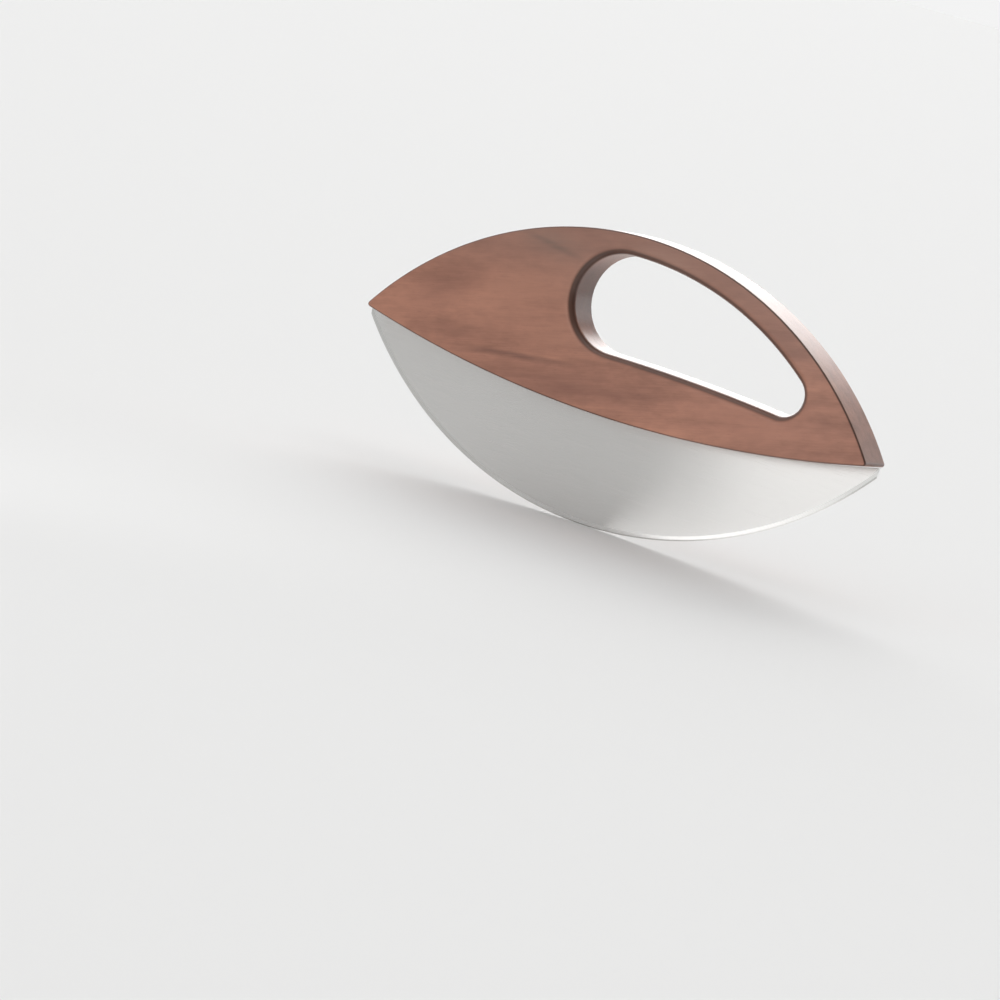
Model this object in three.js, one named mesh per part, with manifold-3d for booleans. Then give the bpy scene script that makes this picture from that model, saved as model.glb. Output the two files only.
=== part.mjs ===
// Mezzaluna: a one-hand rocking knife with a crescent blade and a bow-shaped wooden handle.
// The handle is two wooden halves glued round the blade's hidden tang, held by blind steel pins
// and lined up by hardwood dowels. Millimetres, +Z up, X along the knife, front face towards -Y.
// The origin is under the middle of the cutting edge, at its lowest point.

import * as THREE from 'three';
import { mergeVertices } from 'three/addons/utils/BufferGeometryUtils.js';
import Module from 'manifold-3d';

// Handle
const handleLength = 300;         // tip to tip, where the top and belly arcs would meet
const handleThickness = 28;
const topRise = 78.5;             // top of the bow above the line through the tips
const bellyDrop = 18.2;           // lowest wood below the line through the tips
const edgeRound = 1.2;            // rounding along the outer edges
const tipSoftening = 0.4;         // how much larger the rounding of the tips is, seen from the front
const glueLine = 0.2;             // between the two halves

// Grip opening: a wide lobe and a narrow lobe joined by a roof arc and a floor arc
const gripNarrowRadius = 11.3;
const gripSpan = 102.2;           // between the middles of the two lobes, along X
const bowAtWideEnd = 11.1;        // wood over the wide lobe
const bowAtNarrowEnd = 13.8;      // wood over the narrow lobe
const railAtWideEnd = 32.5;       // wood under the wide lobe
const railAtNarrowEnd = 21.5;     // wood under the narrow lobe
const gripRoofRadius = 168.5;
const gripFloorRadius = 1025;     // the floor swells up a little between the lobes
const gripRound = 4.4;            // rounding along the edges of the opening

// Blade
const bladeOverhang = 1.8;        // blade past each tip of the handle
const bladeDepth = 77;            // line through the tips down to the lowest point of the edge
const bladeEndDrop = 5.4;         // line through the tips down to the corner of the end cut
const bladeThickness = 2;
const bevelHeight = 2.5;          // ground band along the cutting edge
const edgeThickness = 0.3;        // what the grinding leaves at the very edge

// Tang, hidden in a pocket between the halves
const tangDepth = 14;             // how far it reaches into the wood
const tangEndWall = 25;           // solid wood between each tip and the tang
const tangCornerRadius = 4;
const seatGap = 0.3;              // glue gap round the tang, the pins and the dowels

// Pins through the tang, and dowels between the halves
const pinDiameter = 4;
const pinCount = 5;
const pinEndDistance = 15;        // outer pins from the ends of the tang
const pinCover = 5;               // wood left over each pin's end
const dowelDiameter = 5;
const bowDowelCount = 2;
const dowelCover = 6;             // wood left over each dowel's end

// Fineness of the facets: how far a chord may stray from its arc
const facetTolerance = 0.05;
const rodTolerance = 0.03;
const cutPast = 2;                // how far a cutting solid runs past the face that it opens

// Values that follow
const tipHeight = bladeDepth;
const bladeLength = handleLength + 2 * bladeOverhang;
const tangLength = handleLength - 2 * tangEndWall;
const pinLength = handleThickness - 2 * pinCover;
const dowelLength = handleThickness - 2 * dowelCover;
const topArc = circleOnChord(handleLength, tipHeight, topRise);
const bellyArc = circleOnChord(handleLength, tipHeight, -bellyDrop);
const edgeArc = circleOnChord(bladeLength, tipHeight - bladeEndDrop, bladeEndDrop - tipHeight);
const grip = gripCircles();

// Circle through both ends of a level chord centred on X = 0, rising (or sinking) by the sagitta
function circleOnChord(chord, height, sagitta) {
  const radius = (chord * chord / 4 + sagitta * sagitta) / (2 * Math.abs(sagitta));
  const middle = new THREE.Vector2(0, height + sagitta - Math.sign(sagitta) * radius);
  return { middle, radius };
}

// The point at the given distances from two others: of the two such points, the one towards a side
function meetingPoint(first, firstDistance, second, secondDistance, side) {
  const gap = second.clone().sub(first);
  const reach = gap.length();
  const along = (firstDistance ** 2 - secondDistance ** 2 + reach ** 2) / (2 * reach);
  const aside = Math.sqrt(firstDistance ** 2 - along ** 2);
  const unit = gap.divideScalar(reach);
  const square = new THREE.Vector2(-unit.y, unit.x);
  const pick = Math.sign(square.dot(side));
  return first.clone().addScaledVector(unit, along).addScaledVector(square, pick * aside);
}

function heightOn(circle, x, upper) {
  const rise = Math.sqrt(circle.radius ** 2 - (x - circle.middle.x) ** 2);
  return circle.middle.y + (upper ? rise : -rise);
}

// The four circles of the grip opening. Each lobe keeps its own thickness of bow above it and of
// rail below it, so the narrow lobe sits where the handle tapers to that height.
function gripCircles() {
  const right = new THREE.Vector2(1, 0);
  const down = new THREE.Vector2(0, -1);
  const narrow = {
    radius: gripNarrowRadius,
    middle: meetingPoint(
      topArc.middle, topArc.radius - bowAtNarrowEnd - gripNarrowRadius,
      bellyArc.middle, bellyArc.radius - railAtNarrowEnd - gripNarrowRadius, right),
  };
  const wide = wideLobe(narrow.middle.x - gripSpan);
  const roof = {
    radius: gripRoofRadius,
    middle: meetingPoint(
      wide.middle, gripRoofRadius - wide.radius,
      narrow.middle, gripRoofRadius - narrow.radius, down),
  };
  const floor = {
    radius: gripFloorRadius,
    middle: meetingPoint(
      wide.middle, gripFloorRadius + wide.radius,
      narrow.middle, gripFloorRadius + narrow.radius, down),
  };
  return { wide, narrow, roof, floor };
}

// The circle at a given X that fills the handle between its bow and its rail
function wideLobe(x) {
  let low = heightOn(bellyArc, x, false);
  let high = heightOn(topArc, x, true);
  const middle = new THREE.Vector2(x, low);
  const roomAbove = () => topArc.radius - bowAtWideEnd - middle.distanceTo(topArc.middle);
  const roomBelow = () => bellyArc.radius - railAtWideEnd - middle.distanceTo(bellyArc.middle);
  while (high - low > Number.EPSILON * handleLength) {
    middle.y = (low + high) / 2;
    if (middle.y === low || middle.y === high) break;
    if (roomAbove() > roomBelow()) low = middle.y;
    else high = middle.y;
  }
  return { radius: roomAbove(), middle };
}

// Facets that keep an arc within the tolerance
function arcSteps(radius, sweep) {
  const finest = 2 * Math.acos(1 - facetTolerance / radius);
  return Math.max(2, Math.ceil(Math.abs(sweep) / finest));
}

// Points along an arc, without its last one, each with the normal that points out of the outline.
// A hollow arc has its middle outside the outline.
function arcPoints(circle, from, to, hollow = false, steps = arcSteps(circle.radius, to - from)) {
  return Array.from({ length: steps }, (_, step) => {
    const angle = from + (to - from) * step / steps;
    const spoke = new THREE.Vector2(Math.cos(angle), Math.sin(angle));
    const point = circle.middle.clone().addScaledVector(spoke, circle.radius);
    return { point, normal: hollow ? spoke.negate() : spoke };
  });
}

function bearing(from, to) {
  return Math.atan2(to.y - from.y, to.x - from.x);
}

function movedOut(outline, distance) {
  return outline.map(({ point, normal }) => point.clone().addScaledVector(normal, distance));
}

// Outer outline of the handle, counter-clockwise seen from the front
function handleOutline() {
  const radius = edgeRound + tipSoftening;
  const right = meetingPoint(
    topArc.middle, topArc.radius - radius,
    bellyArc.middle, bellyArc.radius - radius, new THREE.Vector2(1, 0));
  const left = new THREE.Vector2(-right.x, right.y);
  const topRight = bearing(topArc.middle, right);
  const bellyRight = bearing(bellyArc.middle, right);
  const topLeft = Math.PI - topRight;
  const bellyLeft = -Math.PI - bellyRight;
  return [
    ...arcPoints(topArc, topRight, topLeft),
    ...arcPoints({ middle: left, radius }, topLeft, bellyLeft + 2 * Math.PI),
    ...arcPoints(bellyArc, bellyLeft, bellyRight),
    ...arcPoints({ middle: right, radius }, bellyRight, topRight),
  ];
}

// Outline of the grip opening, counter-clockwise seen from the front
function gripOutline() {
  const { wide, narrow, roof, floor } = grip;
  const roofAtWide = bearing(roof.middle, wide.middle);
  const roofAtNarrow = bearing(roof.middle, narrow.middle);
  const floorAtWide = bearing(floor.middle, wide.middle);
  const floorAtNarrow = bearing(floor.middle, narrow.middle);
  return [
    ...arcPoints(roof, roofAtNarrow, roofAtWide),
    ...arcPoints(wide, roofAtWide, floorAtWide + Math.PI),
    ...arcPoints(floor, floorAtWide, floorAtNarrow, true),
    ...arcPoints(narrow, floorAtNarrow - Math.PI, roofAtNarrow),
  ];
}

// The tang's upper edge from right to left, grown on all sides by a clearance
function tangTop(grow) {
  const halfLength = tangLength / 2 + grow;
  const radius = tangCornerRadius + grow;
  const crest = { middle: bellyArc.middle, radius: bellyArc.radius - tangDepth - grow };
  const cornerX = halfLength - radius;
  const cornerHeight = heightOn({ middle: crest.middle, radius: crest.radius + radius }, cornerX, false);
  const right = { middle: new THREE.Vector2(cornerX, cornerHeight), radius };
  const left = { middle: new THREE.Vector2(-cornerX, cornerHeight), radius };
  const crestRight = bearing(crest.middle, right.middle);
  const crestLeft = -Math.PI - crestRight;
  return [
    ...arcPoints(right, 0, crestRight + Math.PI),
    ...arcPoints(crest, crestRight, crestLeft, true),
    ...arcPoints(left, crestLeft + Math.PI, Math.PI),
    { point: new THREE.Vector2(-halfLength, cornerHeight) },
  ].map(({ point }) => point);
}

// Outline of the blade with its cutting edge drawn in by a distance, counter-clockwise from the front
function bladeOutline(edgeInset) {
  const halfLength = bladeLength / 2;
  const halfTang = tangLength / 2;
  const seat = { middle: bellyArc.middle, radius: bellyArc.radius + seatGap };
  const edge = { middle: edgeArc.middle, radius: edgeArc.radius - edgeInset };
  const seatAt = (x) => new THREE.Vector2(x, heightOn(seat, x, false));
  const edgeAt = (x) => new THREE.Vector2(x, heightOn(edge, x, false));
  const onSeat = (x) => bearing(seat.middle, seatAt(x));
  const onEdge = (x) => bearing(edge.middle, edgeAt(x));
  const edgeSteps = arcSteps(edgeArc.radius, 2 * Math.asin(halfLength / edgeArc.radius));
  const shoulders = [[halfLength, halfTang], [-halfTang, -halfLength]].map(([from, to]) => [
    ...arcPoints(seat, onSeat(from), onSeat(to), true).map(({ point }) => point),
    seatAt(to),
  ]);
  return [
    ...shoulders[0],
    ...tangTop(0),
    ...shoulders[1],
    ...arcPoints(edge, onEdge(-halfLength), onEdge(halfLength), false, edgeSteps).map(({ point }) => point),
    edgeAt(halfLength),
  ];
}

// Closed skin through outlines with equal numbers of points, from the lowest Y to the highest
function loft(layers) {
  const count = layers[0].outline.length;
  const corners = layers.flatMap(({ y, outline }) => outline.flatMap((point) => [point.x, y, point.y]));
  const faces = [];
  for (let layer = 0; layer + 1 < layers.length; layer += 1) {
    for (let i = 0; i < count; i += 1) {
      const here = layer * count + i;
      const next = layer * count + (i + 1) % count;
      faces.push(here, here + count, next, next, here + count, next + count);
    }
  }
  const last = (layers.length - 1) * count;
  for (const [a, b, c] of THREE.ShapeUtils.triangulateShape(layers[0].outline, [])) {
    faces.push(a, b, c);
  }
  for (const [a, b, c] of THREE.ShapeUtils.triangulateShape(layers[layers.length - 1].outline, [])) {
    faces.push(last + a, last + c, last + b);
  }
  const geometry = new THREE.BufferGeometry();
  geometry.setAttribute('position', new THREE.Float32BufferAttribute(corners, 3));
  geometry.setIndex(faces);
  return geometry;
}

// Round rod along Y through a point of the X-Z plane
function rod(diameter, length, place) {
  const step = 2 * Math.acos(1 - 2 * rodTolerance / diameter);
  const sides = 2 * Math.ceil(Math.PI / step);
  const geometry = new THREE.CylinderGeometry(diameter / 2, diameter / 2, length, sides);
  return geometry.translate(place.x, 0, place.y);
}

// Depths and insets of a quarter-round, from the side wall to the face of the handle
function quarterRound(radius) {
  const steps = arcSteps(radius, Math.PI / 2);
  return Array.from({ length: steps + 1 }, (_, step) => {
    const angle = Math.PI / 2 * step / steps;
    return {
      depth: handleThickness / 2 - radius * (1 - Math.sin(angle)),
      inset: radius * (1 - Math.cos(angle)),
    };
  });
}

// Layers of one half of the handle: side is -1 for the front and 1 for the rear
function halfLayers(side, layers) {
  const placed = layers.map(({ depth, outline }) => ({ y: side * depth, outline }));
  return side > 0 ? placed : placed.reverse();
}

function halfBody(side) {
  const outline = handleOutline();
  return loft(halfLayers(side, [
    { depth: glueLine / 2, outline: movedOut(outline, 0) },
    ...quarterRound(edgeRound).map(({ depth, inset }) => ({ depth, outline: movedOut(outline, -inset) })),
  ]));
}

function gripCut(side) {
  const outline = gripOutline();
  const past = handleThickness / 2 + cutPast;
  return loft(halfLayers(side, [
    { depth: -cutPast, outline: movedOut(outline, 0) },
    ...quarterRound(gripRound).map(({ depth, inset }) => ({ depth, outline: movedOut(outline, inset) })),
    { depth: past, outline: movedOut(outline, gripRound) },
  ]));
}

// Pocket for the tang, open along the belly
function tangPocket() {
  const upper = tangTop(seatGap);
  const mouth = tipHeight - bellyDrop - cutPast;
  const outline = [
    new THREE.Vector2(-tangLength / 2 - seatGap, mouth),
    new THREE.Vector2(tangLength / 2 + seatGap, mouth),
    ...upper,
  ];
  const depth = bladeThickness / 2 + seatGap;
  return loft([{ y: -depth, outline }, { y: depth, outline }]);
}

// Pins spread evenly along the middle of the tang
function pinPlaces() {
  const midTang = { middle: bellyArc.middle, radius: bellyArc.radius - tangDepth / 2 };
  const first = pinEndDistance - tangLength / 2;
  const spacing = -2 * first / (pinCount - 1);
  return Array.from({ length: pinCount }, (_, i) => {
    const x = first + i * spacing;
    return new THREE.Vector2(x, heightOn(midTang, x, false));
  });
}

// Dowels: spread along the middle of the bow, then one in the nose and one in the cheek
function dowelPlaces() {
  const inBow = Array.from({ length: bowDowelCount }, (_, i) => {
    const x = grip.wide.middle.x + gripSpan * (i + 1) / (bowDowelCount + 1);
    const under = new THREE.Vector2(x, heightOn(grip.roof, x, true));
    const spoke = under.clone().sub(topArc.middle);
    const reach = (spoke.length() + topArc.radius) / 2;
    return topArc.middle.clone().addScaledVector(spoke.normalize(), reach);
  });
  const tangCrest = { middle: bellyArc.middle, radius: bellyArc.radius - tangDepth };
  const noseX = (grip.wide.middle.x - grip.wide.radius - handleLength / 2) / 2;
  const cheekX = (grip.narrow.middle.x + grip.narrow.radius + handleLength / 2) / 2;
  const inSolid = [noseX, cheekX].map((x) => {
    const height = (heightOn(topArc, x, true) + heightOn(tangCrest, x, false)) / 2;
    return new THREE.Vector2(x, height);
  });
  return [...inBow, ...inSolid];
}

const wasm = await Module();
wasm.setup();

function toSolid(geometry) {
  const bare = geometry.clone();
  bare.deleteAttribute('normal');
  bare.deleteAttribute('uv');
  const welded = mergeVertices(bare);
  return new wasm.Manifold(new wasm.Mesh({
    numProp: 3,
    vertProperties: new Float32Array(welded.attributes.position.array),
    triVerts: new Uint32Array(welded.index.array),
  }));
}

function toGeometry(solid) {
  const { vertProperties, triVerts } = solid.getMesh();
  const geometry = new THREE.BufferGeometry();
  geometry.setAttribute('position', new THREE.BufferAttribute(vertProperties, 3));
  geometry.setIndex(new THREE.BufferAttribute(triVerts, 1));
  geometry.computeVertexNormals();
  return geometry;
}

function cutBy(geometry, cutters) {
  return toGeometry(cutters.reduce((solid, cutter) => solid.subtract(toSolid(cutter)), toSolid(geometry)));
}

const finishes = {
  steel: new THREE.MeshStandardMaterial({ color: 0xc6c6c4, roughness: 0.32, metalness: 1 }),
  wood: new THREE.MeshStandardMaterial({ color: 0x9a6a58, roughness: 0.5, metalness: 0 }),
  pinSteel: new THREE.MeshStandardMaterial({ color: 0xb4b6b8, roughness: 0.4, metalness: 1 }),
  dowelWood: new THREE.MeshStandardMaterial({ color: 0xcfae84, roughness: 0.7, metalness: 0 }),
};

const mezzaluna = new THREE.Group();
mezzaluna.name = 'mezzaluna';

function addPiece(name, geometry, finish) {
  const mesh = new THREE.Mesh(geometry, finish);
  mesh.name = name;
  mezzaluna.add(mesh);
}

const pins = pinPlaces();
const dowels = dowelPlaces();
const pinHoles = pins.map((place) => rod(pinDiameter + 2 * seatGap, pinLength + 2 * seatGap, place));
const dowelHoles = dowels.map((place) => rod(dowelDiameter + 2 * seatGap, dowelLength + 2 * seatGap, place));

// Blade: full thickness down to the bevel, then ground from both sides to the edge
const bladePlate = loft([
  { y: -bladeThickness / 2, outline: bladeOutline(bevelHeight) },
  { y: -edgeThickness / 2, outline: bladeOutline(0) },
  { y: edgeThickness / 2, outline: bladeOutline(0) },
  { y: bladeThickness / 2, outline: bladeOutline(bevelHeight) },
]);
addPiece('blade', cutBy(bladePlate, pinHoles), finishes.steel);

// Handle halves, front and rear
for (const [name, side] of [['handle_front', -1], ['handle_rear', 1]]) {
  const cutters = [gripCut(side), tangPocket(), ...pinHoles, ...dowelHoles];
  addPiece(name, cutBy(halfBody(side), cutters), finishes.wood);
}

pins.forEach((place, i) => {
  addPiece(`tang_pin_${i + 1}`, rod(pinDiameter, pinLength, place), finishes.pinSteel);
});
dowels.forEach((place, i) => {
  addPiece(`handle_dowel_${i + 1}`, rod(dowelDiameter, dowelLength, place), finishes.dowelWood);
});

export default mezzaluna;
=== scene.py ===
# Mezzaluna: a crescent blade under a bow-shaped wooden handle with a long teardrop grip.
# Metres, +Z up, X along the knife, front face towards -Y, the cutting edge resting on Z = 0.

import math

import bmesh
import bpy
from mathutils import Matrix, Vector
from mathutils.geometry import intersect_sphere_sphere_2d


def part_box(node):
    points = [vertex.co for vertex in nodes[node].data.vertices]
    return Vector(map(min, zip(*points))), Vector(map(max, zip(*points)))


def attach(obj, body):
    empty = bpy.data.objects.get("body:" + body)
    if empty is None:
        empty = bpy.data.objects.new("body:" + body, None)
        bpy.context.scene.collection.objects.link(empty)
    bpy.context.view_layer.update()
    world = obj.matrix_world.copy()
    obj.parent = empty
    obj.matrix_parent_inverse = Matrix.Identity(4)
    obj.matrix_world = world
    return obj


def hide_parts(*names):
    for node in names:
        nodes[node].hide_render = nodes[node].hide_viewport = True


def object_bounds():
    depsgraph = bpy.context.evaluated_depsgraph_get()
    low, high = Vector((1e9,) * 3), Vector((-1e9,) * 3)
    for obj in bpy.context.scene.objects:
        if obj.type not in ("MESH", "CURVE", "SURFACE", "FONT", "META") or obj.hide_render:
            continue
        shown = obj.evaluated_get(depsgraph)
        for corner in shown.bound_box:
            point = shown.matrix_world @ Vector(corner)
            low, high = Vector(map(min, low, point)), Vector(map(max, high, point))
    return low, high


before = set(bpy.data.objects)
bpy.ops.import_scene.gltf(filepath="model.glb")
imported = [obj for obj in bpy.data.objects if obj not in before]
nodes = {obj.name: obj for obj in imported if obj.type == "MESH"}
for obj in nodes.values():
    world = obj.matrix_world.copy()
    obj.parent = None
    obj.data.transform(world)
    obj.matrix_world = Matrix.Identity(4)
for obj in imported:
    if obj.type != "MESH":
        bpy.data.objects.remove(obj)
cadLow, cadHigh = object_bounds()
print("frame loaded:", len(nodes), "CAD nodes")

blade = {
    "depth": 0.077,             # line through the tips down to the lowest point of the edge
    "endDrop": 0.0054,          # line through the tips down to the corner of the end cut
    "edgeThickness": 0.0003,
    "grind": ((0.0007, 0.0011), (0.0025, 0.0020)),      # height above the edge, thickness there
    "discFacets": 900,
    "smoothAngle": 10,
}
tang = {
    "length": 0.250,
    "depth": 0.014,
    "cornerRadius": 0.004,
    "clearance": 0.0003,
}
# The grip's two lobes keep these thicknesses of bow above them and of rail below them
handle = {
    "length": 0.300,            # where the top and belly arcs would meet, tip to tip
    "topRise": cadHigh.z - blade["depth"],      # top of the bow above the line through the tips
    "bellyDrop": 0.0182,
    "tipRadius": 0.0016,        # the tips, seen from the front
    "edgeRound": 0.0012,
    "gripRound": 0.0044,
    "narrowRadius": 0.0113,
    "gripSpan": 0.1022,         # between the middles of the lobes, along X
    "bowAtWide": 0.0111,
    "bowAtNarrow": 0.0138,
    "railAtWide": 0.0325,
    "railAtNarrow": 0.0215,
    "roofRadius": 0.1685,
    "floorRadius": 1.025,
    "seam": 0.00002,            # glue line between the halves
    "roundSteps": 8,
    "smoothAngle": 35,
}


def circleOnChord(chord, height, sagitta):
    radius = (chord * chord / 4 + sagitta * sagitta) / (2 * abs(sagitta))
    return Vector((0, height + sagitta - math.copysign(radius, sagitta))), radius


def meetingPoint(first, firstReach, second, secondReach, side):
    points = intersect_sphere_sphere_2d(first, firstReach, second, secondReach)
    return max(points, key=lambda point: point.dot(side))


def bearing(start, end):
    return math.atan2(end.y - start.y, end.x - start.x)


def pointOn(middle, radius, angle):
    return middle + radius * Vector((math.cos(angle), math.sin(angle)))


def heightUnder(middle, radius, x):
    return middle.y - math.sqrt(radius ** 2 - (x - middle.x) ** 2)


# The arcs that both the wood and the steel follow, in X and Z
bladeLow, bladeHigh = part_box("blade")
tipLine = blade["depth"]
endCorner = tipLine - blade["endDrop"]
halfBlade = bladeHigh.x
halfTang = tang["length"] / 2
topMiddle, topRadius = circleOnChord(handle["length"], tipLine, handle["topRise"])
bellyMiddle, bellyRadius = circleOnChord(handle["length"], tipLine, -handle["bellyDrop"])
edgeMiddle, edgeRadius = circleOnChord(2 * halfBlade, endCorner, -endCorner)
toRight = Vector((1, 0))
toDown = Vector((0, -1))


# The circle at a given X that fills the handle between bow and rail, found by halving
def wideLobe(x):
    low, high = tipLine, tipLine + handle["topRise"]
    middle = Vector((x, low))
    for halving in range(60):
        middle.y = (low + high) / 2
        above = topRadius - handle["bowAtWide"] - (middle - topMiddle).length
        below = bellyRadius - handle["railAtWide"] - (middle - bellyMiddle).length
        if above > below:
            low = middle.y
        else:
            high = middle.y
    return middle, above


# Modelling helpers: an outline is a point that is spun round one arc after another
shaping = {
    "arcStep": 0.0018,          # length of a facet along an outline
    "leastFacets": 6,           # on a short arc
    "weld": 0.00002,            # points closer than this become one
    "onFace": 0.000001,         # how near to a face an edge on it lies
    "sharp": 60,                # degrees between the two faces of an edge that gets rounded
    "holeSides": 48,
    "past": 0.002,              # how far a plug runs past what it opens
}


def takeUp(piece):
    bpy.ops.object.select_all(action="DESELECT")
    piece.select_set(True)
    bpy.context.view_layer.objects.active = piece


def startOutline(name, place, depth):
    bpy.ops.object.select_all(action="DESELECT")
    bpy.ops.mesh.primitive_plane_add(size=0.01)     # any size, as it shrinks to a point
    piece = bpy.context.object
    piece.name = piece.data.name = name
    bpy.ops.object.mode_set(mode="EDIT")
    bpy.ops.mesh.select_mode(type="VERT")
    bpy.ops.mesh.select_all(action="SELECT")
    bpy.ops.mesh.merge(type="CENTER")
    bpy.ops.transform.translate(value=(place.x, depth, place.y))
    return piece


def spinTo(middle, radius, start, end, depth):
    sweep = end - start
    steps = max(shaping["leastFacets"], round(abs(radius * sweep) / shaping["arcStep"]))
    bpy.ops.mesh.spin(
        steps=steps, angle=sweep, center=(middle.x, depth, middle.y), axis=(0, 1, 0),
        use_auto_merge=False)


def drawTo(start, end):
    bpy.ops.mesh.extrude_vertices_move(
        TRANSFORM_OT_translate={"value": (end.x - start.x, 0, end.y - start.y)})


def closeAndThicken(thickness):
    bpy.ops.mesh.select_all(action="SELECT")
    bpy.ops.mesh.remove_doubles(threshold=shaping["weld"])
    bpy.ops.mesh.edge_face_add()
    bpy.ops.mesh.extrude_region_move(TRANSFORM_OT_translate={"value": (0, thickness, 0)})
    bpy.ops.mesh.select_all(action="SELECT")
    bpy.ops.mesh.normals_make_consistent(inside=False)
    bpy.ops.object.mode_set(mode="OBJECT")


def roundPlate(name, sides, radius, middle, thickness):
    bpy.ops.object.select_all(action="DESELECT")
    bpy.ops.mesh.primitive_cylinder_add(
        vertices=sides, radius=radius, depth=thickness, location=middle, rotation=(math.pi / 2, 0, 0))
    plate = bpy.context.object
    plate.name = plate.data.name = name
    bpy.ops.object.transform_apply(location=True, rotation=True, scale=True)
    return plate


def shapeBy(piece, tool, operation):
    cut = piece.modifiers.new(operation.lower(), "BOOLEAN")
    cut.operation = operation
    cut.solver = "EXACT"
    cut.object = tool
    takeUp(piece)
    bpy.ops.object.modifier_apply(modifier=cut.name)
    bpy.data.objects.remove(tool)


# Rounds the sharp edges that lie at a depth
def roundEdges(piece, depth, radius):
    takeUp(piece)
    bpy.ops.object.mode_set(mode="EDIT")
    bpy.ops.mesh.select_mode(type="EDGE")
    bpy.ops.mesh.select_all(action="DESELECT")
    mesh = bmesh.from_edit_mesh(piece.data)
    for edge in mesh.edges:
        onFace = all(abs(corner.co.y - depth) < shaping["onFace"] for corner in edge.verts)
        edge.select_set(onFace and edge.calc_face_angle(0) > math.radians(shaping["sharp"]))
    bmesh.update_edit_mesh(piece.data)
    bpy.ops.mesh.bevel(
        offset=radius, segments=handle["roundSteps"], profile=0.5, affect="EDGES", clamp_overlap=False)
    bpy.ops.object.mode_set(mode="OBJECT")


def smoothOver(piece, angle):
    takeUp(piece)
    bpy.ops.object.shade_smooth_by_angle(angle=math.radians(angle), keep_sharp_edges=False)
    weighted = piece.modifiers.new("weighted", "WEIGHTED_NORMAL")
    weighted.keep_sharp = True
    bpy.ops.object.modifier_apply(modifier=weighted.name)


# Handle: the front half is cut from a lens-shaped block, and the rear half is its mirror image
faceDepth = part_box("handle_front")[0].y
seamDepth = -handle["seam"] / 2


def lensBlock(name):
    radius = handle["tipRadius"]
    right = meetingPoint(topMiddle, topRadius - radius, bellyMiddle, bellyRadius - radius, toRight)
    left = Vector((-right.x, right.y))
    topRight = bearing(topMiddle, right)
    topLeft = math.pi - topRight
    bellyRight = bearing(bellyMiddle, right)
    bellyLeft = -math.pi - bellyRight
    block = startOutline(name, pointOn(topMiddle, topRadius, topRight), faceDepth)
    spinTo(topMiddle, topRadius, topRight, topLeft, faceDepth)
    spinTo(left, radius, topLeft, bellyLeft + 2 * math.pi, faceDepth)
    spinTo(bellyMiddle, bellyRadius, bellyLeft, bellyRight, faceDepth)
    spinTo(right, radius, bellyRight, topRight, faceDepth)
    closeAndThicken(seamDepth - faceDepth)
    return block


def gripPlug():
    narrowRadius = handle["narrowRadius"]
    narrow = meetingPoint(
        topMiddle, topRadius - handle["bowAtNarrow"] - narrowRadius,
        bellyMiddle, bellyRadius - handle["railAtNarrow"] - narrowRadius, toRight)
    wide, wideRadius = wideLobe(narrow.x - handle["gripSpan"])
    roofRadius = handle["roofRadius"]
    roof = meetingPoint(wide, roofRadius - wideRadius, narrow, roofRadius - narrowRadius, toDown)
    roofWide = bearing(roof, wide)
    roofNarrow = bearing(roof, narrow)
    floorRadius = handle["floorRadius"]
    floor = meetingPoint(wide, floorRadius + wideRadius, narrow, floorRadius + narrowRadius, toDown)
    floorWide = bearing(floor, wide)
    floorNarrow = bearing(floor, narrow)
    depth = faceDepth - shaping["past"]
    plug = startOutline("gripPlug", pointOn(roof, roofRadius, roofNarrow), depth)
    spinTo(roof, roofRadius, roofNarrow, roofWide, depth)
    spinTo(wide, wideRadius, roofWide, floorWide + math.pi, depth)
    spinTo(floor, floorRadius, floorWide, floorNarrow, depth)
    spinTo(narrow, narrowRadius, floorNarrow - math.pi, roofNarrow, depth)
    closeAndThicken(shaping["past"] - depth)
    return plug


# The tang's crest from its right shoulder to its left one, grown by a clearance
def drawTang(start, grow, depth):
    half = halfTang + grow
    radius = tang["cornerRadius"] + grow
    crest = bellyRadius - tang["depth"] - grow
    corner = Vector((half - radius, heightUnder(bellyMiddle, crest + radius, half - radius)))
    mirrored = Vector((-corner.x, corner.y))
    crestRight = bearing(bellyMiddle, corner)
    crestLeft = -math.pi - crestRight
    drawTo(start, Vector((half, corner.y)))
    spinTo(corner, radius, 0, crestRight + math.pi, depth)
    spinTo(bellyMiddle, crest, crestRight, crestLeft, depth)
    spinTo(mirrored, radius, crestLeft + math.pi, math.pi, depth)
    return Vector((-half, corner.y))


def pocketPlug():
    grow = tang["clearance"]
    depth = bladeLow.y - grow
    mouth = tipLine - handle["bellyDrop"] - shaping["past"]
    start = Vector((halfTang + grow, mouth))
    plug = startOutline("pocketPlug", start, depth)
    end = drawTang(start, grow, depth)
    drawTo(end, Vector((end.x, mouth)))
    closeAndThicken(shaping["past"] - depth)
    return plug


# From a pin's or dowel's front end to just past the middle of the handle
def holePlug(node):
    low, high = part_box(node)
    start = low.y - tang["clearance"]
    middle = (low + high) / 2
    middle.y = (start + shaping["past"]) / 2
    radius = (high.z - low.z) / 2 + tang["clearance"]
    return roundPlate("holePlug", shaping["holeSides"], radius, middle, shaping["past"] - start)


pins = [name for name in nodes if name.startswith("tang_pin")]
dowels = [name for name in nodes if name.startswith("handle_dowel")]
handleFront = lensBlock("handleFront")
roundEdges(handleFront, faceDepth, handle["edgeRound"])
shapeBy(handleFront, gripPlug(), "DIFFERENCE")
roundEdges(handleFront, faceDepth, handle["gripRound"])
shapeBy(handleFront, pocketPlug(), "DIFFERENCE")
for name in pins + dowels:
    shapeBy(handleFront, holePlug(name), "DIFFERENCE")
smoothOver(handleFront, handle["smoothAngle"])

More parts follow.
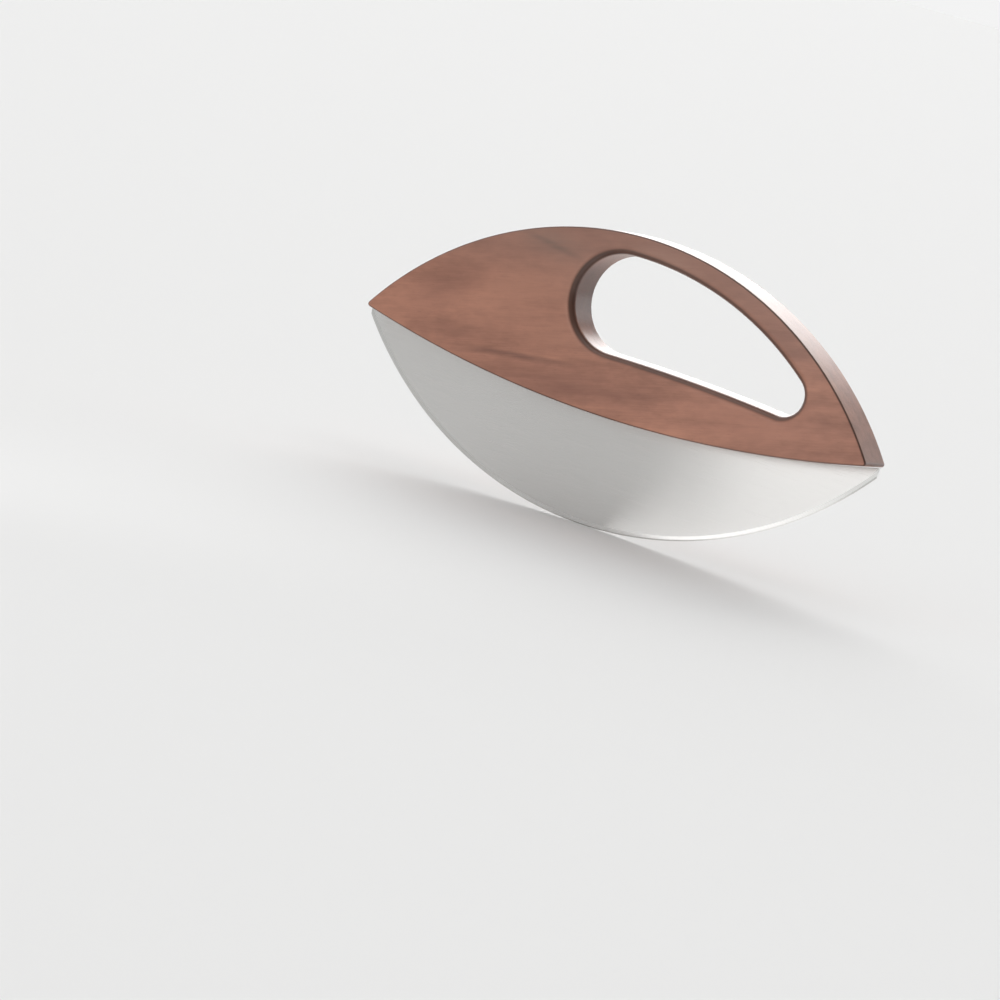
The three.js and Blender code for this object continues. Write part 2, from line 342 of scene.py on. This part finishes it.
takeUp(handleFront)
bpy.ops.object.duplicate()
handleRear = bpy.context.object
handleRear.name = handleRear.data.name = "handleRear"
bpy.ops.object.mode_set(mode="EDIT")
bpy.ops.mesh.select_all(action="SELECT")
bpy.ops.transform.mirror(constraint_axis=(False, True, False), center_override=(0, 0, 0))
bpy.ops.mesh.normals_make_consistent(inside=False)
bpy.ops.object.mode_set(mode="OBJECT")
smoothOver(handleRear, handle["smoothAngle"])
print("handle halves:", len(handleFront.data.polygons), "faces each")


# Blade: a disc ground to an edge all round, cut down to the crescent and its tang
def groundDisc(name):
    disc = roundPlate(
        name, blade["discFacets"], edgeRadius, (0, 0, edgeMiddle.y), blade["edgeThickness"])
    bpy.ops.object.mode_set(mode="EDIT")
    bpy.ops.mesh.select_mode(type="FACE")
    for side in (-1, 1):
        bpy.ops.mesh.select_all(action="DESELECT")
        mesh = bmesh.from_edit_mesh(disc.data)
        for face in mesh.faces:
            face.select_set(face.normal.y * side > 0.99)
        bmesh.update_edit_mesh(disc.data)
        reach, thickness = edgeRadius, blade["edgeThickness"]
        for height, wanted in blade["grind"]:
            shrink = (edgeRadius - height) / reach
            bpy.ops.mesh.extrude_region_move(
                TRANSFORM_OT_translate={"value": (0, side * (wanted - thickness) / 2, 0)})
            bpy.ops.transform.resize(value=(shrink, 1, shrink), center_override=(0, 0, edgeMiddle.y))
            reach, thickness = edgeRadius - height, wanted
    bpy.ops.object.mode_set(mode="OBJECT")
    return disc


def crescentBlock():
    seatRadius = bellyRadius + tang["clearance"]
    depth = 2 * bladeLow.y      # clear of both faces
    below = -shaping["past"]
    corners = [Vector((x, heightUnder(bellyMiddle, seatRadius, x))) for x in (halfBlade, halfTang)]
    outer, inner = (bearing(bellyMiddle, corner) for corner in corners)
    start = Vector((halfBlade, below))
    block = startOutline("crescentBlock", start, depth)
    drawTo(start, corners[0])
    spinTo(bellyMiddle, seatRadius, outer, inner, depth)
    end = drawTang(corners[1], 0, depth)
    drawTo(end, Vector((-halfTang, corners[1].y)))
    spinTo(bellyMiddle, seatRadius, -math.pi - inner, -math.pi - outer, depth)
    drawTo(Vector((-halfBlade, corners[0].y)), Vector((-halfBlade, below)))
    closeAndThicken(-2 * depth)
    return block


bladeSteel = groundDisc("bladeSteel")
shapeBy(bladeSteel, crescentBlock(), "INTERSECT")
for name in pins:
    shapeBy(bladeSteel, holePlug(name), "DIFFERENCE")
smoothOver(bladeSteel, blade["smoothAngle"])
print("blade:", len(bladeSteel.data.polygons), "faces")


# Shader helpers
def put(tree, kind, inputs, **settings):
    node = tree.nodes.new("ShaderNode" + kind)
    for name, value in settings.items():
        setattr(node, name, value)
    for name, value in inputs.items():
        if isinstance(value, bpy.types.NodeSocket):
            tree.links.new(value, node.inputs[name])
        else:
            node.inputs[name].default_value = value
    return node


def newGroup(name, inputs, outputs):
    tree = bpy.data.node_groups.new(name, "ShaderNodeTree")
    for label, (kind, value) in inputs.items():
        socket = tree.interface.new_socket(label, in_out="INPUT", socket_type="NodeSocket" + kind)
        if value is not None:
            socket.default_value = value
    for label, kind in outputs.items():
        tree.interface.new_socket(label, in_out="OUTPUT", socket_type="NodeSocket" + kind)
    return tree, tree.nodes.new("NodeGroupInput").outputs, tree.nodes.new("NodeGroupOutput")


def useGroup(tree, group, inputs):
    return put(tree, "Group", inputs, node_tree=group).outputs


def newMaterial(name):
    material = bpy.data.materials.new(name)
    material.use_nodes = True
    tree = material.node_tree
    return material, tree, tree.nodes["Principled BSDF"]


def stretched(tree, vector, scale):
    return put(tree, "VectorMath", {0: vector, 1: scale}, operation="MULTIPLY").outputs[0]


# A noise is a stretch along and across the lines, a detail and a roughness
def noise(tree, vector, settings):
    stretch, detail, roughness = settings
    return put(tree, "TexNoise", {
        "Vector": stretched(tree, vector, stretch), "Scale": 1.0,
        "Detail": detail, "Roughness": roughness}).outputs["Fac"]


def remap(tree, value, span, result=(0.0, 1.0)):
    return put(tree, "MapRange", {
        "Value": value, "From Min": span[0], "From Max": span[1],
        "To Min": result[0], "To Max": result[1]}, interpolation_type="SMOOTHSTEP").outputs["Result"]


def mixColor(tree, factor, first, second):
    inputs = {"Factor": factor, 6: first, 7: second}
    return put(tree, "Mix", inputs, data_type="RGBA").outputs[2]


def arith(tree, operation, first, second=0.0):
    return put(tree, "Math", {0: first, 1: second}, operation=operation).outputs[0]


# Joins a pattern group's outputs to a surface, its height as relief
def coverWith(tree, surface, color, pattern, strength, distance):
    bump = put(tree, "Bump", {"Height": pattern["Height"], "Strength": strength, "Distance": distance})
    tree.links.new(color, surface.inputs["Base Color"])
    tree.links.new(pattern["Roughness"], surface.inputs["Roughness"])
    tree.links.new(bump.outputs[0], surface.inputs["Normal"])


noiseSpan = (0.3, 0.7)          # where nearly all of a noise lies

# Wood: growth rings round a far pith, soft blotches, dark streaks, and fine fibres with pores
woodPattern = {
    "blotch": ((14, 38, 38), 3.0, 0.5),
    "streak": ((10, 150, 120), 4.0, 0.55),
    "mottle": ((110, 260, 260), 2.0, 0.5),
    "fibre": ((60, 1800, 1800), 3.0, 0.55),
    "pore": ((260, 3200, 3200), 2.0, 0.5),
    "ringStretch": (0.12, 1, 1),
    "ringShare": 0.14,
    "poreSpan": (0.62, 0.74),
    "poreShare": 0.22,
    "poreRoughness": 0.12,
    "fibreHeight": 0.4,
    "roughness": (0.29, 0.36),
}
# How far each noise moves the tone from pale to deep, over which span of it
toneShifts = {
    "blotch": (noiseSpan, (0.0, 0.50)),
    "streak": ((0.40, 0.75), (0.0, 0.30)),
    "mottle": (noiseSpan, (-0.12, 0.12)),
    "fibre": (noiseSpan, (-0.07, 0.07)),
}


def woodGroup():
    tree, given, out = newGroup("woodGrain", {
        "Vector": ("Vector", None),
        "Pale": ("Color", (0.4, 0.2, 0.14, 1)),
        "Deep": ("Color", (0.2, 0.09, 0.06, 1)),
        "Pore": ("Color", (0.05, 0.03, 0.02, 1)),
        "Ring Scale": ("Float", 30.0),
    }, {"Color": "Color", "Roughness": "Float", "Height": "Float"})
    along = given["Vector"]
    rings = put(tree, "TexWave", {
        "Vector": stretched(tree, along, woodPattern["ringStretch"]), "Scale": given["Ring Scale"],
        "Distortion": 7.0, "Detail": 3.0, "Detail Scale": 0.7, "Detail Roughness": 0.55,
    }, wave_type="RINGS", rings_direction="X").outputs["Fac"]
    layers = {name: noise(tree, along, woodPattern[name]) for name in (*toneShifts, "pore")}
    depth = arith(tree, "MULTIPLY", rings, woodPattern["ringShare"])
    for name, (span, shift) in toneShifts.items():
        depth = arith(tree, "ADD", depth, remap(tree, layers[name], span, shift))
    body = mixColor(tree, depth, given["Pale"], given["Deep"])
    pores = remap(tree, layers["pore"], woodPattern["poreSpan"])
    tone = mixColor(tree, arith(tree, "MULTIPLY", pores, woodPattern["poreShare"]), body, given["Pore"])
    rough = remap(tree, layers["fibre"], noiseSpan, woodPattern["roughness"])
    rough = arith(tree, "ADD", rough, arith(tree, "MULTIPLY", pores, woodPattern["poreRoughness"]))
    ridges = arith(tree, "MULTIPLY", layers["fibre"], woodPattern["fibreHeight"])
    tree.links.new(tone, out.inputs["Color"])
    tree.links.new(rough, out.inputs["Roughness"])
    tree.links.new(arith(tree, "SUBTRACT", ridges, pores), out.inputs["Height"])
    return tree


# A soft-edged patch: full at its middle, gone at its rim
def spotGroup():
    tree, given, out = newGroup("softSpot", {
        "Vector": ("Vector", None),
        "Middle": ("Vector", (0, 0, 0)),
        "Turn": ("Vector", (0, 0, 0)),
        "Reach": ("Vector", (0.01, 0.01, 0.01)),
    }, {"Mask": "Float"})
    placed = put(tree, "Mapping", {
        "Vector": given["Vector"], "Location": given["Middle"],
        "Rotation": given["Turn"], "Scale": given["Reach"]}, vector_type="TEXTURE").outputs[0]
    distance = put(tree, "VectorMath", {0: placed}, operation="LENGTH").outputs["Value"]
    tree.links.new(remap(tree, distance, (0.0, 1.0), (1.0, 0.0)), out.inputs["Mask"])
    return tree


woodGrain = woodGroup()
softSpot = spotGroup()

handleWood = {
    "grainTilt": 14,            # degrees that the grain climbs towards the narrow end
    "pith": (0.0, 0.055, -0.16),
    "pale": (0.505, 0.224, 0.144, 1),
    "deep": (0.255, 0.104, 0.065, 1),
    "pore": (0.091, 0.042, 0.029, 1),
    "ringScale": 26.0,
    "relief": 0.25,
    "reliefDepth": 0.0001,
    "coat": 0.15,
    "coatRoughness": 0.3,
    "ragged": ((22, 260, 260), 4.0, 0.6),       # noise that frays the figure
    "frayed": ((0.3, 0.6), (0.45, 1.0)),
}
# Figure that stands out on this handle: middle, tilt in degrees, reach, colour, strength
woodFigure = {
    "paleHeart": ((-0.062, -0.014, 0.106), 10, (0.060, 0.03, 0.030), (0.500, 0.228, 0.148, 1), 0.65),
    "paleRail": ((0.085, -0.014, 0.081), 4, (0.070, 0.03, 0.020), (0.490, 0.212, 0.138, 1), 0.60),
    "paleCheek": ((-0.034, -0.014, 0.0920), 8, (0.034, 0.03, 0.0140), (0.500, 0.228, 0.148, 1), 0.55),
    "paleBow": ((0.012, -0.014, 0.1460), -4, (0.034, 0.03, 0.0130), (0.430, 0.240, 0.180, 1), 0.60),
    "heelShade": ((-0.028, -0.014, 0.0685), 7, (0.080, 0.02, 0.0130), (0.225, 0.090, 0.060, 1), 0.65),
    "lowStreak": ((-0.054, -0.014, 0.0760), 7, (0.048, 0.02, 0.0028), (0.150, 0.060, 0.042, 1), 0.75),
    "streakTail": ((-0.080, -0.014, 0.0715), 13, (0.028, 0.02, 0.0018), (0.170, 0.068, 0.046, 1), 0.60),
    "noseShade": ((-0.108, -0.014, 0.0985), 34, (0.034, 0.02, 0.0150), (0.250, 0.104, 0.070, 1), 0.50),
    "noseStreak": ((-0.100, -0.014, 0.0780), 12, (0.034, 0.02, 0.0075), (0.220, 0.090, 0.060, 1), 0.45),
    "bowHaze": ((-0.056, -0.014, 0.1395), -6, (0.034, 0.03, 0.0130), (0.260, 0.165, 0.125, 1), 0.45),
    "bowSmoke": ((-0.053, -0.014, 0.1372), -9, (0.028, 0.03, 0.0030), (0.160, 0.100, 0.078, 1), 0.55),
    "bowShade": ((0.084, -0.014, 0.1275), -17, (0.040, 0.03, 0.0130), (0.210, 0.090, 0.064, 1), 0.45),
}
# The bow is painted darker and greyer with height, as painted shade; the span is in metres
paintedBowShade = {"span": (0.100, 0.140), "tone": (0.304, 0.163, 0.122, 1), "strength": 0.55}
# End grain, by how far a face turns to either end
endGrain = {"span": (0.65, 1.00), "tone": (0.105, 0.046, 0.030, 1), "strength": 0.75}
# Rounded edges painted darker as painted shade, by how far they turn to the front or rear, and more towards
# the narrow end
paintedEdgeShade = {
    "tone": (0.050, 0.026, 0.019, 1),
    "fromWall": (0.12, 0.45),
    "toFace": (0.84, 0.995),
    "narrowEnd": (0.05, 0.45),
    "strength": (0.72, 0.85),
}


def tilted(degrees):
    return (0, -math.radians(degrees), 0)


def woodOn(tree, vector, wood):
    return useGroup(tree, woodGrain, {
        "Vector": vector, "Pale": wood["pale"], "Deep": wood["deep"],
        "Pore": wood["pore"], "Ring Scale": wood["ringScale"]})


def handleFinish():
    material, tree, surface = newMaterial("oiledWood")
    coordinates = put(tree, "TexCoord", {}).outputs
    place = coordinates["Object"]
    facing = put(tree, "SeparateXYZ", {"Vector": coordinates["Normal"]}).outputs
    grain = put(tree, "Mapping", {
        "Vector": place, "Location": handleWood["pith"],
        "Rotation": tilted(handleWood["grainTilt"])}, vector_type="TEXTURE").outputs[0]
    wood = woodOn(tree, grain, handleWood)
    # painted shade: the bow darker and greyer with height
    height = put(tree, "SeparateXYZ", {"Vector": place}).outputs["Z"]
    bowShadeAmount = arith(tree, "MULTIPLY", remap(tree, height, paintedBowShade["span"]), paintedBowShade["strength"])
    color = mixColor(tree, bowShadeAmount, wood["Color"], paintedBowShade["tone"])
    ragged = remap(tree, noise(tree, grain, handleWood["ragged"]), *handleWood["frayed"])
    for middle, tilt, reach, tone, strength in woodFigure.values():
        spot = useGroup(tree, softSpot, {
            "Vector": place, "Middle": middle, "Turn": tilted(tilt), "Reach": reach})
        frayed = arith(tree, "MULTIPLY", spot["Mask"], ragged)
        color = mixColor(tree, arith(tree, "MULTIPLY", frayed, strength), color, tone)
    endwards = remap(tree, arith(tree, "ABSOLUTE", facing["X"]), endGrain["span"])
    color = mixColor(tree, arith(tree, "MULTIPLY", endwards, endGrain["strength"]), color, endGrain["tone"])
    # painted shade on the rounded edges, stronger towards the narrow end
    across = arith(tree, "ABSOLUTE", facing["Y"])
    fromWall = remap(tree, across, paintedEdgeShade["fromWall"])
    toFace = remap(tree, across, paintedEdgeShade["toFace"], (1.0, 0.0))
    rounded = arith(tree, "MULTIPLY", fromWall, toFace)
    edgeShadeStrength = remap(tree, facing["X"], paintedEdgeShade["narrowEnd"], paintedEdgeShade["strength"])
    color = mixColor(tree, arith(tree, "MULTIPLY", rounded, edgeShadeStrength), color, paintedEdgeShade["tone"])
    coverWith(tree, surface, color, wood, handleWood["relief"], handleWood["reliefDepth"])
    surface.inputs["Coat Weight"].default_value = handleWood["coat"]
    surface.inputs["Coat Roughness"].default_value = handleWood["coatRoughness"]
    return material


dowelWood = {
    "pale": (0.66, 0.46, 0.27, 1),
    "deep": (0.50, 0.32, 0.17, 1),
    "pore": (0.33, 0.20, 0.10, 1),
    "ringScale": 60.0,
    "relief": 0.3,
    "reliefDepth": 0.0001,
}


def dowelFinish():
    material, tree, surface = newMaterial("rawBeech")
    place = put(tree, "TexCoord", {}).outputs["Object"]
    along = put(tree, "Mapping", {
        "Vector": place, "Rotation": (0, 0, math.pi / 2)}, vector_type="TEXTURE").outputs[0]
    wood = woodOn(tree, along, dowelWood)
    coverWith(tree, surface, wood["Color"], wood, dowelWood["relief"], dowelWood["reliefDepth"])
    return material


# Steel: fine lines along one direction, in tone, gloss and relief
brushing = {
    "fine": ((25, 9000, 9000), 3.0, 0.6),
    "broad": ((6, 1800, 1800), 3.0, 0.55),
    "broadShare": 0.1,
    "shade": (0.98, 1.015),
    "glossShift": (-0.03, 0.03),
    "reliefDepth": 0.00005,
    "pullTurn": 0.25,           # turns that the stretched highlight is rotated by
}


def brushedGroup():
    tree, given, out = newGroup("brushedLines", {
        "Vector": ("Vector", None),
        "Tone": ("Color", (0.6, 0.6, 0.6, 1)),
        "Gloss": ("Float", 0.3),
    }, {"Color": "Color", "Roughness": "Float", "Height": "Float"})
    fine = arith(tree, "MULTIPLY", noise(tree, given["Vector"], brushing["fine"]), 1 - brushing["broadShare"])
    broad = arith(tree, "MULTIPLY", noise(tree, given["Vector"], brushing["broad"]), brushing["broadShare"])
    lines = arith(tree, "ADD", fine, broad)
    shade = remap(tree, lines, noiseSpan, brushing["shade"])
    gloss = arith(tree, "ADD", given["Gloss"], remap(tree, lines, noiseSpan, brushing["glossShift"]))
    tree.links.new(stretched(tree, given["Tone"], shade), out.inputs["Color"])
    tree.links.new(gloss, out.inputs["Roughness"])
    tree.links.new(lines, out.inputs["Height"])
    return tree


brushedLines = brushedGroup()
# Turn is in degrees, and pull stretches the highlight. A painted dark reflection, a darker tone, shows where
# its span along X starts and fades out along it.
steelFinishes = {
    "satinSteel": {
        "tone": (0.62, 0.613, 0.601, 1), "gloss": 0.25, "relief": 0.03, "pull": 0.95, "turn": 0},
    "groundBevel": {
        "tone": (0.88, 0.875, 0.865, 1), "gloss": 0.42, "relief": 0.03, "pull": 0.0, "turn": 0,
        "darkReflection": (0.58, 0.575, 0.565, 1), "darkReflectionSpan": (-0.10, 0.02)},
    "turnedPin": {
        "tone": (0.47, 0.475, 0.48, 1), "gloss": 0.32, "relief": 0.15, "pull": 0.0, "turn": 90},
}


def steelFinish(name):
    finish = steelFinishes[name]
    material, tree, surface = newMaterial(name)
    place = put(tree, "TexCoord", {}).outputs["Object"]
    along = put(tree, "Mapping", {
        "Vector": place, "Rotation": (0, 0, math.radians(finish["turn"]))}, vector_type="TEXTURE").outputs[0]
    tone = finish["tone"]
    # painted dark reflection: the bevel darker towards the left end
    if "darkReflection" in finish:
        right = put(tree, "SeparateXYZ", {"Vector": place}).outputs["X"]
        tone = mixColor(tree, remap(tree, right, finish["darkReflectionSpan"]), finish["darkReflection"], tone)
    steel = useGroup(tree, brushedLines, {"Vector": along, "Tone": tone, "Gloss": finish["gloss"]})
    coverWith(tree, surface, steel["Color"], steel, finish["relief"], brushing["reliefDepth"])
    surface.inputs["Metallic"].default_value = 1.0
    surface.inputs["Anisotropic"].default_value = finish["pull"]
    surface.inputs["Anisotropic Rotation"].default_value = brushing["pullTurn"]
    return material


def dress(piece, *materials):
    piece.data.materials.clear()
    for material in materials:
        piece.data.materials.append(material)


oiledWood = handleFinish()
dress(handleFront, oiledWood)
dress(handleRear, oiledWood)
dress(bladeSteel, steelFinish("satinSteel"), steelFinish("groundBevel"))
microHeight, bevelHeight = (height for height, thickness in blade["grind"])
for face in bladeSteel.data.polygons:
    middle = Vector((face.center.x, face.center.z))
    height = edgeRadius - (middle - edgeMiddle).length
    face.material_index = 1 if microHeight < height < bevelHeight else 0
turnedPin = steelFinish("turnedPin")
rawBeech = dowelFinish()
for name in pins:
    dress(nodes[name], turnedPin)
for name in dowels:
    dress(nodes[name], rawBeech)
print("finishes:", len(bpy.data.materials), "materials")

pieces = {
    "handle_front": (handleFront, "wood"),
    "handle_rear": (handleRear, "wood"),
    "blade": (bladeSteel, "steel"),
}
for node, (piece, slot) in pieces.items():
    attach(piece, "root")
    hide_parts(node)

# Stage: a pale floor in a room that is bright in front, on the left and overhead
stage = {
    "floorSize": 200.0,
    "floorColor": (0.78, 0.78, 0.775, 1),
    "floorRoughness": 0.9,
    "backdrop": 0.90,           # what the camera sees past the floor
    "away": (0.95, 0.3, 0),     # towards the dim side of the room
    "awaySpan": (-0.6, 0.6),
    "room": (0.80, 0.16),       # brightness of its near and far sides
    "ceilingSpan": (0.70, 0.95),
    "ceiling": 0.75,
}
# Windows behind the knife, in degrees from straight behind and up: where each starts, where it is full
windows = {
    "tall": {"glow": 3.3, "left": (-62, -44), "right": (4, -8), "top": (56, 36)},
    "low": {"glow": 1.9, "left": (7, 18), "right": (36, 20), "top": (34, 20)},
}
# A soft box that the right of the blade mirrors, and a card on the floor that its bevel mirrors
lights = {
    "softBox": {
        "place": (-0.13, -0.69, 0.165), "aim": (0.10, 0, 0.05),
        "energy": 0.050, "size": (0.16, 0.29), "spread": 80},       # narrow, so that it misses the floor
    "floorCard": {
        "place": (0.085, -0.045, 0.001), "aim": (0.085, -0.045, 1),
        "energy": 0.028, "size": (0.15, 0.075), "spread": 180},
}
bpy.ops.object.select_all(action="DESELECT")
bpy.ops.mesh.primitive_plane_add(size=stage["floorSize"])
paleFloor = bpy.context.object
paleFloor.name = paleFloor.data.name = "paleFloor"
floorPaint, tree, surface = newMaterial("floorPaint")
surface.inputs["Base Color"].default_value = stage["floorColor"]
surface.inputs["Roughness"].default_value = stage["floorRoughness"]
dress(paleFloor, floorPaint)

for name, light in lights.items():
    lamp = bpy.data.lights.new(name, "AREA")
    lamp.energy = light["energy"]
    lamp.shape = "RECTANGLE"
    lamp.size, lamp.size_y = light["size"]
    lamp.spread = math.radians(light["spread"])
    holder = bpy.data.objects.new(name, lamp)
    bpy.context.scene.collection.objects.link(holder)
    holder.location = light["place"]
    holder.rotation_euler = (Vector(light["aim"]) - holder.location).to_track_quat("-Z", "Y").to_euler()
    holder.visible_camera = False

studio = bpy.data.worlds.new("studio")
bpy.context.scene.world = studio
studio.use_nodes = True
tree = studio.node_tree
background = tree.nodes["Background"]
background.inputs["Color"].default_value = (1, 1, 1, 1)
heading = put(tree, "TexCoord", {}).outputs["Generated"]
away = put(tree, "VectorMath", {0: heading, 1: stage["away"]}, operation="DOT_PRODUCT").outputs["Value"]
parts = put(tree, "SeparateXYZ", {"Vector": heading}).outputs
overhead = remap(tree, parts["Z"], stage["ceilingSpan"], (0.0, stage["ceiling"]))
glow = arith(tree, "ADD", remap(tree, away, stage["awaySpan"], stage["room"]), overhead)
turn = arith(tree, "ARCTAN2", parts["X"], parts["Y"])
rise = arith(tree, "ARCSINE", parts["Z"])
for window in windows.values():
    pane = window["glow"]
    for angle, side in ((turn, "left"), (turn, "right"), (rise, "top")):
        span = [math.radians(degrees) for degrees in window[side]]
        pane = arith(tree, "MULTIPLY", remap(tree, angle, span), pane)
    glow = arith(tree, "ADD", glow, pane)
seen = put(tree, "LightPath", {}).outputs["Is Camera Ray"]
strength = put(tree, "Mix", {"Factor": seen, 2: glow, 3: stage["backdrop"]}, data_type="FLOAT").outputs[0]
tree.links.new(strength, background.inputs["Strength"])

# Camera: a known point of the knife falls on a known pixel of a 1000 pixel square
view = {
    "azimuth": 24.303,
    "elevation": 6.451,
    "roll": 15.803,
    "depth": 2.814284,          # from the camera to the known point, along the view
    "focalPixels": 5359.262,
    "framePixels": 1000,
    "knownPoint": (0, 0, tipLine),
    "knownPixel": (621.3, 384.402),
    "sensor": 36.0,
    "clipEnd": 100,
}
azimuth, elevation, roll = (math.radians(view[key]) for key in ("azimuth", "elevation", "roll"))
levelRight = Vector((math.cos(azimuth), math.sin(azimuth), 0))
levelAhead = Vector((-math.sin(azimuth), math.cos(azimuth), 0))
forward = math.cos(elevation) * levelAhead - Vector((0, 0, math.sin(elevation)))
levelUp = levelRight.cross(forward)
right = math.cos(roll) * levelRight + math.sin(roll) * levelUp
up = right.cross(forward)
halfFrame = view["framePixels"] / 2
perPixel = view["depth"] / view["focalPixels"]
acrossFrame = (view["knownPixel"][0] - halfFrame) * perPixel
upFrame = (halfFrame - view["knownPixel"][1]) * perPixel
eye = Vector(view["knownPoint"]) - view["depth"] * forward - acrossFrame * right - upFrame * up
lens = bpy.data.cameras.new("photoView")
lens.sensor_width = view["sensor"]
lens.lens = view["focalPixels"] / view["framePixels"] * view["sensor"]
lens.clip_end = view["clipEnd"]
photoView = bpy.data.objects.new("photoView", lens)
bpy.context.scene.collection.objects.link(photoView)
photoView.matrix_world = Matrix.Translation(eye) @ Matrix((right, up, -forward)).transposed().to_4x4()
bpy.context.scene.camera = photoView
bpy.context.scene.view_settings.view_transform = "Standard"
print("stage and camera set")
